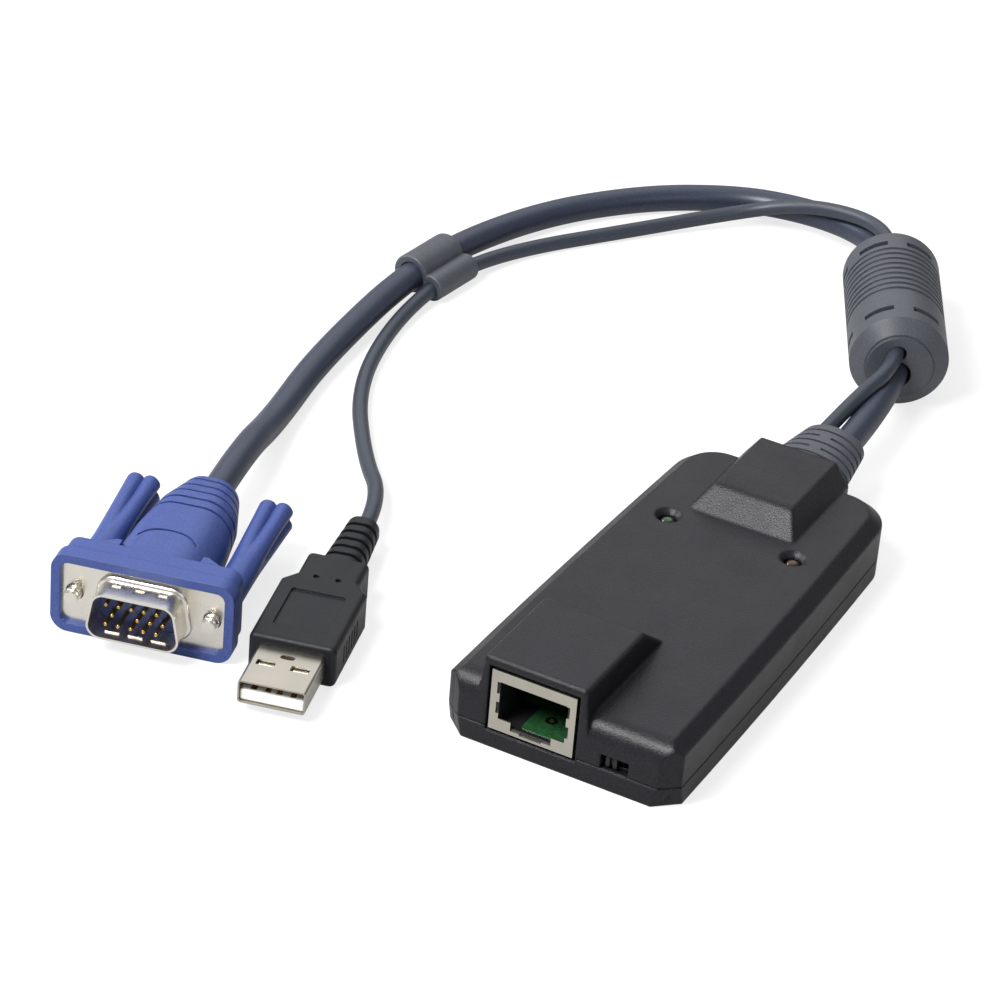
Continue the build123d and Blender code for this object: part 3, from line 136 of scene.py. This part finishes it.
# grain and clouds are the sizes of the fine and the broad pattern, and depth is how deep the grain goes
looks = {
    # spark-eroded ABS, drawn a little coarse so it shows: a leathery black that breaks its sheen into specks
    "caseAbs": (mouldedPlastic, dict(
        grain=0.33 * mm, clouds=9 * mm, dark="#121115", light="#1f1e24", rough=0.37, bump=0.9, depth=0.065 * mm,
        edge=0.9 * mm, specular=0.25)),
    # soft PVC over the cords: a matt slate grey with a dull, wide sheen
    "cordMoulding": (mouldedPlastic, dict(
        grain=0.3 * mm, clouds=7 * mm, dark="#383b41", light="#464a52", rough=0.46, bump=0.35,
        depth=0.02 * mm)),
    # extruded PVC jacket, dark with a violet cast, and a long soft line of light along the cord
    "videoJacket": (mouldedPlastic, dict(
        grain=0.35 * mm, clouds=12 * mm, dark="#222838", light="#2d3446", rough=0.4, bump=0.25,
        depth=0.02 * mm)),
    # the thin cord's jacket, a greyer blue than the thick one
    "dataJacket": (mouldedPlastic, dict(
        grain=0.3 * mm, clouds=12 * mm, dark="#242a34", light="#2e3541", rough=0.42, bump=0.25,
        depth=0.02 * mm)),
    # coloured PVC of the display plug: an even mid blue, slightly waxy
    "bluePvc": (mouldedPlastic, dict(
        grain=0.35 * mm, clouds=8 * mm, dark="#263872", light="#324686", rough=0.42, bump=0.3,
        depth=0.02 * mm)),
    # eroded black PVC of the data plug's grip: flat black, with a trace of grain in the light
    "blackPvc": (mouldedPlastic, dict(
        grain=0.28 * mm, clouds=6 * mm, dark="#101114", light="#1a1b20", rough=0.45, bump=0.6, depth=0.05 * mm,
        specular=0.25)),
    # glass-filled nylon inside the jack: deep black, barely shiny
    "blackNylon": (mouldedPlastic, dict(
        grain=0.25 * mm, clouds=5 * mm, dark="#0c0c0d", light="#141416", rough=0.5, bump=0.2,
        depth=0.02 * mm)),
    # natural nylon: the warm white of a connector's tongue
    "whiteNylon": (mouldedPlastic, dict(
        grain=0.3 * mm, clouds=5 * mm, dark="#d8d6cf", light="#e6e4de", rough=0.4, bump=0.1, depth=0.01 * mm)),
    # acetal knob: brownish black, smoother than the case around it
    "switchPlastic": (mouldedPlastic, dict(
        grain=0.3 * mm, clouds=4 * mm, dark="#0d0c0a", light="#15130f", rough=0.35, bump=0.1,
        depth=0.01 * mm)),
    # solder mask on laminate: a glossy dark green
    "boardLacquer": (mouldedPlastic, dict(
        grain=0.5 * mm, clouds=3 * mm, dark="#1b4024", light="#285530", rough=0.3, bump=0.2, depth=0.02 * mm)),
    # sintered ferrite: a dull dark grey, like unglazed ceramic
    "ferrite": (mouldedPlastic, dict(
        grain=0.3 * mm, clouds=5 * mm, dark="#1c1c1c", light="#2c2c2c", rough=0.6, bump=0.3, depth=0.02 * mm)),
    # bright nickel on the display plug: a warm silver with blurred mirror images
    "nickelPlate": (platedMetal, dict(
        grain=0.4 * mm, clouds=6 * mm, dark="#e2ddd3", light="#efebe2", rough=0.28, bump=0.15,
        depth=0.01 * mm)),
    # handled nickel of the data plug, a tone darker
    "dullNickel": (platedMetal, dict(
        grain=0.4 * mm, clouds=6 * mm, dark="#aba69c", light="#bfbab0", rough=0.3, bump=0.15,
        depth=0.01 * mm)),
    # nickel on rolled sheet around the jack: flat and satin
    "jackSheet": (platedMetal, dict(
        grain=0.4 * mm, clouds=5 * mm, dark="#b5b0a4", light="#cbc6ba", rough=0.34, bump=0.15,
        depth=0.01 * mm)),
    # gold flash on contacts: small bright yellow glints
    "goldFlash": (platedMetal, dict(
        grain=0.3 * mm, clouds=3 * mm, dark="#b9924a", light="#d8b469", rough=0.25, bump=0.1, depth=0.01 * mm)),
    # zinc on steel screws and cans: a cool, uneven grey
    "zincSteel": (platedMetal, dict(
        grain=0.3 * mm, clouds=4 * mm, dark="#8f8f8b", light="#b0b0aa", rough=0.35, bump=0.15,
        depth=0.01 * mm)),
    # unlit lamps: dark glassy beads with a hint of their colour
    "greenLens": (lens, dict(colour="#14321a", rough=0.12, clear=0.15)),
    "amberLens": (lens, dict(colour="#2e1c09", rough=0.12, clear=0.15)),
}
materials = {name: make(name, look) for name, (make, look) in looks.items()}
nodeMaterials = {
    "upper_case": "caseAbs", "lower_case": "caseAbs", "case_screws": "zincSteel",
    "circuit_board": "boardLacquer", "jack_board": "boardLacquer", "control_chip": "blackNylon",
    "side_chips": "blackNylon", "can_capacitors": "zincSteel", "clock_crystal": "zincSteel",
    "cable_header": "whiteNylon", "jack_shield": "jackSheet", "jack_insulator": "blackNylon",
    "jack_contacts": "goldFlash", "green_lamp": "greenLens", "amber_lamp": "amberLens",
    "switch_body": "blackNylon", "switch_knob": "switchPlastic", "cable_boot": "cordMoulding",
    "ferrite_cover": "cordMoulding", "ferrite_core": "ferrite", "cable_clip": "cordMoulding",
    "display_hood": "bluePvc", "left_thumb_grip": "bluePvc", "right_thumb_grip": "bluePvc",
    "left_thumb_pin": "nickelPlate", "right_thumb_pin": "nickelPlate", "display_shell": "nickelPlate",
    "display_insulator": "bluePvc", "display_pins": "goldFlash", "data_shell": "dullNickel",
    "data_tongue": "whiteNylon", "data_strips": "goldFlash", "data_grip": "blackPvc",
}
for nodeName, materialName in nodeMaterials.items():
    mesh = nodes[nodeName].data
    mesh.materials.clear()
    mesh.materials.append(materials[materialName])
print("materials on the CAD pieces")


# a plug's own axes: origin on its mating face, then sideways, upward and outward
def plugAxes(place, turn):
    angle = math.radians(turn)
    side = Vector((math.cos(angle), math.sin(angle), 0))
    outward = Vector((math.sin(angle), -math.cos(angle), 0))
    axes = Matrix((side, Vector((0, 0, 1)), outward)).transposed().to_4x4()
    return Matrix.Translation(Vector(place) * mm) @ axes


displayAxes = plugAxes((-77.27, -53.61, 7.89), 13.5)
dataAxes = plugAxes((-47.49, -59.97, 4.07), 14.0)
# from the display plug's middle to each thumbscrew
screwOffset = 12.495 * mm


def newTree(name, sizes):
    tree = bpy.data.node_groups.new(name, "GeometryNodeTree")
    for key, value in sizes.items():
        socket = tree.interface.new_socket(key, in_out="INPUT", socket_type="NodeSocketFloat")
        socket.default_value = value
    tree.interface.new_socket("Geometry", in_out="OUTPUT", socket_type="NodeSocketGeometry")
    return tree, tree.nodes.new("NodeGroupInput").outputs


def smooth(mesh, crease):
    for face in mesh.polygons:
        face.use_smooth = True
    mesh.set_sharp_from_angle(angle=math.radians(crease))


# realizes what the tree made, gives it its material and turns it into one mesh set in place
def bakeTree(tree, geometry, material, sizes, name, axes, body):
    whole = add(tree, "GeometryNodeRealizeInstances", None, Geometry=geometry)
    painted = add(tree, "GeometryNodeSetMaterial", None, Geometry=whole.outputs[0], Material=material)
    tree.links.new(painted.outputs[0], add(tree, "NodeGroupOutput").inputs[0])
    piece = bpy.data.objects.new(name, bpy.data.meshes.new(name))
    bpy.context.scene.collection.objects.link(piece)
    modifier = piece.modifiers.new("build", "NODES")
    modifier.node_group = tree
    for socket in tree.interface.items_tree:
        if socket.in_out == "INPUT" and socket.name in sizes:
            modifier[socket.identifier] = sizes[socket.name]
    made = bpy.data.meshes.new_from_object(piece.evaluated_get(bpy.context.evaluated_depsgraph_get()))
    piece.modifiers.remove(modifier)
    piece.data = made
    made.transform(axes)
    smooth(made, 35)
    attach(piece, body)
    return piece


def newPiece(name, mesh, material, body):
    mesh.materials.clear()
    mesh.materials.append(materials[material])
    piece = bpy.data.objects.new(name, mesh)
    bpy.context.scene.collection.objects.link(piece)
    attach(piece, body)
    return piece


# joins each group of rows into a closed skin; the rows of a group have as many points each
def skin(name, *groups, capped=True):
    work = bmesh.new()
    for rows in groups:
        loops = [[work.verts.new(point) for point in row] for row in rows]
        for near, far in zip(loops, loops[1:]):
            for k in range(len(near)):
                work.faces.new((near[k], near[(k + 1) % len(near)], far[(k + 1) % len(near)], far[k]))
        if capped:
            work.faces.new(loops[0])
            work.faces.new(loops[-1])
    bmesh.ops.recalc_face_normals(work, faces=work.faces)
    mesh = bpy.data.meshes.new(name)
    work.to_mesh(mesh)
    work.free()
    return mesh


# a corner takes the mean normal of the faces around it that turn less than the crease from its own; large
# faces count most, so flats stay flat beside their rounded edges
def steadyNormals(mesh, crease):
    touching = [[] for vertex in mesh.vertices]
    for face in mesh.polygons:
        for vertex in face.vertices:
            touching[vertex].append(face)
    normals = []
    for face in mesh.polygons:
        for vertex in face.vertices:
            total = Vector()
            for other in touching[vertex]:
                if other.normal.dot(face.normal) > math.cos(crease):
                    total += other.normal * (other.area / mm ** 2) ** 2
            normals.append(total.normalized() if total.length > 0 else face.normal)
    mesh.normals_split_custom_set(normals)


# thumbscrew pins: a rolled thread at the front of a plain shank
thread = dict(pitch=0.64 * mm, turns=9.0, core=1.18 * mm, crest=1.3 * mm, ridge=0.16 * mm, front=2.3 * mm,
              tip=0.5 * mm, root=-18.0 * mm, shank=1.42 * mm)
threadSteps = dict(turn=28, ridge=5, rod=32)
for word, side in (("left", -1), ("right", 1)):
    tree, given = newTree(word + "Thread", thread)
    run = add(tree, "ShaderNodeMath", {"operation": "MULTIPLY"}, i0=given["pitch"], i1=given["turns"])
    start = add(tree, "ShaderNodeMath", {"operation": "SUBTRACT"}, i0=given["front"], i1=run.outputs[0])
    start = add(tree, "ShaderNodeMath", {"operation": "SUBTRACT"}, i0=start.outputs[0], i1=given["tip"])
    helix = add(tree, "GeometryNodeCurveSpiral", None, Resolution=threadSteps["turn"],
                Rotations=given["turns"], Start_Radius=given["crest"], End_Radius=given["crest"],
                Height=run.outputs[0])
    ring = add(tree, "GeometryNodeCurvePrimitiveCircle", {"mode": "RADIUS"},
               Resolution=threadSteps["ridge"], Radius=given["ridge"])
    ridge = add(tree, "GeometryNodeCurveToMesh", None, Curve=helix.outputs[0],
                Profile_Curve=ring.outputs["Curve"])
    low = add(tree, "ShaderNodeCombineXYZ", None, Z=start.outputs[0])
    ridge = add(tree, "GeometryNodeTransform", None, Geometry=ridge.outputs[0], Translation=low.outputs[0])
    join = add(tree, "GeometryNodeJoinGeometry")
    tree.links.new(ridge.outputs[0], join.inputs[0])
    # the core under the thread, and the shank behind it
    for radius, bottom, top in ((given["core"], start.outputs[0], given["front"]),
                                (given["shank"], given["root"], start.outputs[0])):
        depth = add(tree, "ShaderNodeMath", {"operation": "SUBTRACT"}, i0=top, i1=bottom)
        rod = add(tree, "GeometryNodeMeshCone", None, Vertices=threadSteps["rod"], Radius_Top=radius,
                  Radius_Bottom=radius, Depth=depth.outputs[0])
        shift = add(tree, "ShaderNodeCombineXYZ", None, Z=bottom)
        rod = add(tree, "GeometryNodeTransform", None, Geometry=rod.outputs["Mesh"],
                  Translation=shift.outputs[0])
        tree.links.new(rod.outputs[0], join.inputs[0])
    axes = displayAxes @ Matrix.Translation((side * screwOffset, 0, 0))
    pin = bakeTree(tree, join.outputs[0], materials["nickelPlate"], thread, word + "Pin", axes,
                   word + "_thumbscrew")
    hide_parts(word + "_thumb_pin")
print("thumbscrew pins threaded")

# spring tabs of the data plug, arched behind its two upper windows
springs = dict(across=3.05, width=2.7, start=4.6, end=8.2, reach=0.5, seat=1.92, sheet=0.18, steps=10, arch=1.5)
tabs = []
for side in (-1, 1):
    left, right = (side * springs["across"] + half * springs["width"] for half in (-0.5, 0.5))
    rows = []
    for step in range(springs["steps"] + 1):
        share = step / springs["steps"]
        depth = -(springs["start"] + (springs["end"] - springs["start"]) * share)
        level = springs["seat"] - springs["reach"] * math.sin(math.pi * share) ** springs["arch"]
        low = level - springs["sheet"]
        rows.append([(across * mm, height * mm, depth * mm) for across, height in (
            (left, level), (right, level), (right, low), (left, low))])
    tabs.append(rows)
mesh = skin("latchSprings", *tabs)
mesh.transform(dataAxes)
newPiece("latchSprings", mesh, "dullNickel", caseBody)
print("latch springs set")

# upper shell: its front top edge rolls over in a wide round on both sides of the block
shell = dict(front=-46.5, deck=12.6, radius=4.0, steps=14, reach=24.0, blockTop=18.1, blockLeft=-14.7,
             blockRight=4.6, draft=0.09, gap=0.02, spare=1.0, weld=0.0005, level=0.3,
             crease=25)
mesh = nodes["upper_case"].data.copy()
mesh.transform(nodes["upper_case"].matrix_world)
work = bmesh.new()
work.from_mesh(mesh)
bmesh.ops.remove_doubles(work, verts=work.verts, dist=shell["weld"] * mm)
work.to_mesh(mesh)
work.free()
upperShell = newPiece("upperShell", mesh, "caseAbs", caseBody)
centre = (shell["front"] + shell["radius"], shell["deck"] - shell["radius"])
profile = [(shell["front"] - shell["spare"], centre[1])]
for step in range(shell["steps"] + 1):
    angle = math.pi - math.pi / 2 * step / shell["steps"]
    profile.append((centre[0] + shell["radius"] * math.cos(angle),
                    centre[1] + shell["radius"] * math.sin(angle)))
profile += [(centre[0], shell["deck"] + shell["spare"]),
            (shell["front"] - shell["spare"], shell["deck"] + shell["spare"])]
cutters = []
for blockEdge, side in ((shell["blockLeft"], -1), (shell["blockRight"], 1)):
    inner = [(blockEdge + side * (shell["draft"] * (shell["blockTop"] - z) + shell["gap"]), y, z)
             for y, z in profile]
    outer = [(side * shell["reach"], y, z) for y, z in profile]
    rows = [[[c * mm for c in point] for point in row] for row in (inner, outer)]
    cutter = bpy.data.objects.new("cutter", skin("cutter", rows))
    bpy.context.scene.collection.objects.link(cutter)
    cut = upperShell.modifiers.new("round", "BOOLEAN")
    cut.operation = "DIFFERENCE"
    cut.solver = "EXACT"
    cut.object = cutter
    cutters.append(cutter)
made = bpy.data.meshes.new_from_object(upperShell.evaluated_get(bpy.context.evaluated_depsgraph_get()))
upperShell.modifiers.clear()
for cutter in cutters:
    bpy.data.objects.remove(cutter)
# flat faces become whole again, so no triangle of them takes its shading from a rounded edge
work = bmesh.new()
work.from_mesh(made)
bmesh.ops.dissolve_limit(work, angle_limit=math.radians(shell["level"]), verts=work.verts, edges=work.edges)
work.to_mesh(made)
work.free()
for face in made.polygons:
    face.use_smooth = True
steadyNormals(made, math.radians(shell["crease"]))
upperShell.data = made
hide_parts("upper_case")

# inner corners of the lower shell, closed behind the facets
corner = dict(half=22.1, front=-46.5, low=1.6, top=4.2, foot=(4.1, 3.8), cut=(3.2, 2.7), seam=4.3,
              ends=(0.15, 0.85), inset=0.03, depth=0.9)
for word, side in (("left", -1), ("right", 1)):
    rows = []
    start, end = corner["ends"]
    for level in (corner["low"], corner["top"]):
        share = level / corner["seam"]
        across, back = (f + (c - f) * share for f, c in zip(corner["foot"], corner["cut"]))
        row = []
        for t, deep in ((start, corner["inset"]), (end, corner["inset"]), (end, corner["depth"]),
                        (start, corner["depth"])):
            row.append((side * (corner["half"] - across * (1 - t) - deep) * mm,
                        (corner["front"] + back * t + deep) * mm, level * mm))
        rows.append(row)
    newPiece(word + "CornerWall", skin("cornerWall", rows), "caseAbs", caseBody)
print("case rounded")

# thumbscrew grips: a round shank that flares into four rounded ribs with sharp valleys
grip = dict(start=6.5, flare=17.5, end=36.4, shank=2.85, outer=3.75, valley=1.45, edge=0.5, ribs=4, rings=40,
            spokes=72, crowd=0.8, gain=1.5, ease=0.9, crisp=1.4)
for word, side in (("left", -1), ("right", 1)):
    rows = []
    for ring in range(grip["rings"] + 1):
        depth = grip["start"] + (grip["end"] - grip["start"]) * (ring / grip["rings"]) ** grip["crowd"]
        share = max(0, (depth - grip["flare"]) / (grip["end"] - grip["flare"]))
        base = grip["shank"] + (grip["outer"] - grip["shank"]) * share
        cut = grip["valley"] * min(1, share * grip["gain"]) ** grip["ease"]
        near = min(1, (grip["end"] - depth) / grip["edge"])
        base -= grip["edge"] * (1 - math.sqrt(max(0, 1 - (1 - near) ** 2)))
        row = []
        for spoke in range(grip["spokes"]):
            angle = 2 * math.pi * spoke / grip["spokes"]
            rib = abs(math.cos(grip["ribs"] / 2 * (angle - math.pi / grip["ribs"])))
            radius = base - cut * (1 - rib) ** grip["crisp"]
            row.append((radius * math.cos(angle) * mm, radius * math.sin(angle) * mm, -depth * mm))
        rows.append(row)
    mesh = skin(word + "Grip", rows)
    mesh.transform(displayAxes @ Matrix.Translation((side * screwOffset, 0, 0)))
    smooth(mesh, 45)
    piece = newPiece(word + "Grip", mesh, "bluePvc", word + "_thumbscrew")
    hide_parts(word + "_thumb_grip")
print("thumb grips shaped")

# inside the jack: a green board on the floor at the right, its pad, and a white stop
jack = dict(x=-5.05, front=-46.5, floor=5.1, board=(-2.6, 6.2, 1.2, 9.0, 0.12), sunk=0.02, chamfer=0.5,
            pad=(0.9, 6.0, 1.1, 0.5, 0.05), spokes=32, stop=(5.0, 5.9, 5.6, 7.4, 2.6), crown=(0.3, 0.25))


def inJack(x, y, z):
    return (jack["x"] + x) * mm, (jack["front"] + y) * mm, (jack["floor"] + z) * mm


left, right, near, far, thick = jack["board"]
corners = [(left, near + jack["chamfer"]), (left + jack["chamfer"], near), (right, near), (right, far),
           (left, far)]
rows = [[inJack(x, y, z) for x, y in corners] for z in (-jack["sunk"], thick)]
newPiece("jackFloorBoard", skin("jackFloorBoard", rows), "boardLacquer", caseBody)
x, y, outer, inner, rise = jack["pad"]
rows = []
for radius, level in ((inner, 0), (outer, 0), (outer, rise), (inner, rise), (inner, 0)):
    turns = [2 * math.pi * k / jack["spokes"] for k in range(jack["spokes"])]
    rows.append([inJack(x + radius * math.cos(a), y + radius * math.sin(a), thick + level) for a in turns])
newPiece("jackPad", skin("jackPad", rows, capped=False), "goldFlash", caseBody)
left, right, near, far, tall = jack["stop"]
drop, inset = jack["crown"]
rows = []
for level, edge in ((thick, 0), (tall - drop, 0), (tall, inset)):
    rows.append([inJack(x, y, level) for x, y in (
        (left + edge, near + edge), (right - edge, near + edge), (right - edge, far - edge),
        (left + edge, far - edge))])
newPiece("jackStop", skin("jackStop", rows), "whiteNylon", caseBody)
print("jack floor laid")

# cords: the route's corner points are the control points of one smooth spline
cords = {
    "videoCord": dict(
        node="video_cord", slot="video_jacket", material="videoJacket", diameter=5.5 * mm, length=337.3 * mm,
        exit=(1.6, 71.5, 8.4),
        route=[
            (2.2, 43.0, 9.0), (2.2, 90.2, 8.1), (-12.2, 119.0, 8.1), (-24.8, 143.6, 6.9), (-34.9, 151.9, 5.3),
            (-48.4, 155.1, 3.9), (-62.5, 153.4, 2.9), (-79.2, 141.6, 2.76), (-94.3, 120.2, 2.78),
            (-101.4, 86.5, 4.6), (-100.2, 45.0, 2.76), (-94.9, 19.0, 3.0), (-90.203, 0.259, 7.89),
            (-85.978, -17.341, 7.89),
        ],
        carries=["display_hood", "display_shell", "display_insulator", "display_pins", "left_thumb_grip",
                 "left_thumb_pin", "right_thumb_grip", "right_thumb_pin", "ferrite_cover", "ferrite_core",
                 "cable_clip", "cable_boot"],
    ),
    "dataCord": dict(
        node="data_cord", slot="data_jacket", material="dataJacket", diameter=3.0 * mm, length=319.2 * mm,
        exit=(-2.8, 71.5, 10.2),
        route=[
            (-3.0, 43.0, 9.0), (-3.0, 76.5, 10.6), (0.2, 94.0, 12.9), (-11.8, 119.4, 12.6),
            (-22.7, 141.2, 11.6), (-32.8, 149.0, 10.0), (-47.6, 151.6, 6.9), (-60.1, 147.4, 2.8),
            (-75.6, 129.1, 1.52), (-90.5, 108.3, 1.55), (-95.6, 88.6, 3.2), (-96.4, 67.0, 1.55),
            (-89.6, 41.4, 1.52), (-75.3, 19.6, 1.6), (-63.916, 5.913, 4.07), (-61.038, -5.634, 4.07),
        ],
        carries=["data_shell", "data_tongue", "data_strips", "data_grip"],
    ),
}
for cordName, facts in cords.items():
    curve = bpy.data.curves.new(cordName, "CURVE")
    curve.dimensions = "3D"
    curve.resolution_u = 16
    curve.bevel_depth = facts["diameter"] / 2
    curve.bevel_resolution = 10
    curve.use_fill_caps = True
    line = curve.splines.new("NURBS")
    line.points.add(len(facts["route"]) - 1)
    for point, place in zip(line.points, facts["route"]):
        point.co = [c * mm for c in place] + [1.0]
    line.order_u = 3
    line.use_endpoint_u = True
    piece = bpy.data.objects.new(cordName, curve)
    bpy.context.scene.collection.objects.link(piece)
    curve.materials.append(materials[facts["material"]])
    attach(piece, caseBody)
    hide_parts(facts["node"])
print("cords laid")

# the camera sees a floor that is mostly glow, so it is white and keeps only the shadows; mirrored in the
# part that glow is weaker, so dark sides stay dark
stage = dict(half=3.0, paint="#f2f2f2", glowShare=0.72, glowSeen=1.05, glowMirrored=0.42, fill=0.3)
floorMesh = bpy.data.meshes.new("floor")
half = stage["half"]
floorMesh.from_pydata([(-half, -half, 0), (half, -half, 0), (half, half, 0), (-half, half, 0)], [],
                      [(0, 1, 2, 3)])
floor = bpy.data.objects.new("floor", floorMesh)
bpy.context.scene.collection.objects.link(floor)
floorMat, tree = newMaterial("paleFloor")
rays = add(tree, "ShaderNodeLightPath")
seen = add(tree, "ShaderNodeMath", {"operation": "MAXIMUM"}, i0=rays.outputs["Is Camera Ray"],
           i1=rays.outputs["Is Glossy Ray"])
seen = add(tree, "ShaderNodeMath", {"operation": "MAXIMUM"}, i0=seen.outputs[0],
           i1=rays.outputs["Is Transmission Ray"])
share = add(tree, "ShaderNodeMath", {"operation": "MULTIPLY"}, i0=seen.outputs[0], i1=stage["glowShare"])
level = add(tree, "ShaderNodeMapRange", None, Value=rays.outputs["Is Glossy Ray"], To_Min=stage["glowSeen"],
            To_Max=stage["glowMirrored"])
paint = add(tree, "ShaderNodeBsdfDiffuse", None, Color=linear(stage["paint"]))
glow = add(tree, "ShaderNodeEmission", None, Color=(1, 1, 1, 1), Strength=level.outputs["Result"])
both = add(tree, "ShaderNodeMixShader", None, i0=share.outputs[0], i1=paint.outputs[0], i2=glow.outputs[0])
finishMaterial(tree, both.outputs[0])
floorMesh.materials.append(floorMat)

# past the floor the camera sees white, while the part gets only a weak fill from there
world = bpy.data.worlds.new("studio")
bpy.context.scene.world = world
world.use_nodes = True
tree = world.node_tree
tree.nodes.clear()
rays = add(tree, "ShaderNodeLightPath")
fill = add(tree, "ShaderNodeBackground", None, Color=(1, 1, 1, 1), Strength=stage["fill"])
white = add(tree, "ShaderNodeBackground", None, Color=(1, 1, 1, 1), Strength=1.0)
mixed = add(tree, "ShaderNodeMixShader", None, i0=rays.outputs["Is Camera Ray"], i1=fill.outputs[0],
            i2=white.outputs[0])
tree.links.new(mixed.outputs[0], add(tree, "ShaderNodeOutputWorld").inputs["Surface"])

# the front lamp gives the rounds their sheen, the back one the flat tops, and the sides stay quiet
aim = (-0.04, 0.03, 0)
lamps = {
    "keyFront": dict(place=(-0.28, -0.5, 0.75), size=0.4, power=12.0),
    "softBack": dict(place=(-0.24, 0.36, 0.5), size=0.9, power=2.1),
    "softLeft": dict(place=(-0.8, 0.0, 0.5), size=0.5, power=5.0),
    "softRight": dict(place=(0.6, -0.35, 0.5), size=0.4, power=0.8),
}
for lampName, facts in lamps.items():
    light = bpy.data.lights.new(lampName, "AREA")
    light.shape = "DISK"
    light.size = facts["size"]
    light.energy = facts["power"]
    lamp = bpy.data.objects.new(lampName, light)
    bpy.context.scene.collection.objects.link(lamp)
    lamp.location = facts["place"]
    lamp.rotation_euler = (Vector(aim) - Vector(facts["place"])).to_track_quat("-Z", "Y").to_euler()

# the camera stands to the right of the front and looks down on the part, a little rolled
shot = dict(azimuth=25.948, elevation=31.95, roll=4.8946, distance=762.40 * mm, lens=148.39,
            sensor=36, clip=10 * mm, target=(-48.526 * mm, 23.654 * mm, 0))
azimuth, elevation, roll = (math.radians(shot[k]) for k in ("azimuth", "elevation", "roll"))
back = Vector((math.sin(azimuth) * math.cos(elevation), -math.cos(azimuth) * math.cos(elevation),
               math.sin(elevation)))
level = Vector((0, 0, 1)).cross(back).normalized()
upward = back.cross(level)
right = math.cos(roll) * level + math.sin(roll) * upward
top = -math.sin(roll) * level + math.cos(roll) * upward
cameraData = bpy.data.cameras.new("camera")
cameraData.lens = shot["lens"]
cameraData.sensor_width = shot["sensor"]
cameraData.clip_start = shot["clip"]
camera = bpy.data.objects.new("camera", cameraData)
bpy.context.scene.collection.objects.link(camera)
turn = Matrix((right, top, back)).transposed().to_4x4()
camera.matrix_world = Matrix.Translation(Vector(shot["target"]) + back * shot["distance"]) @ turn
bpy.context.scene.camera = camera
bpy.context.scene.view_settings.view_transform = "Standard"
print("stage set")
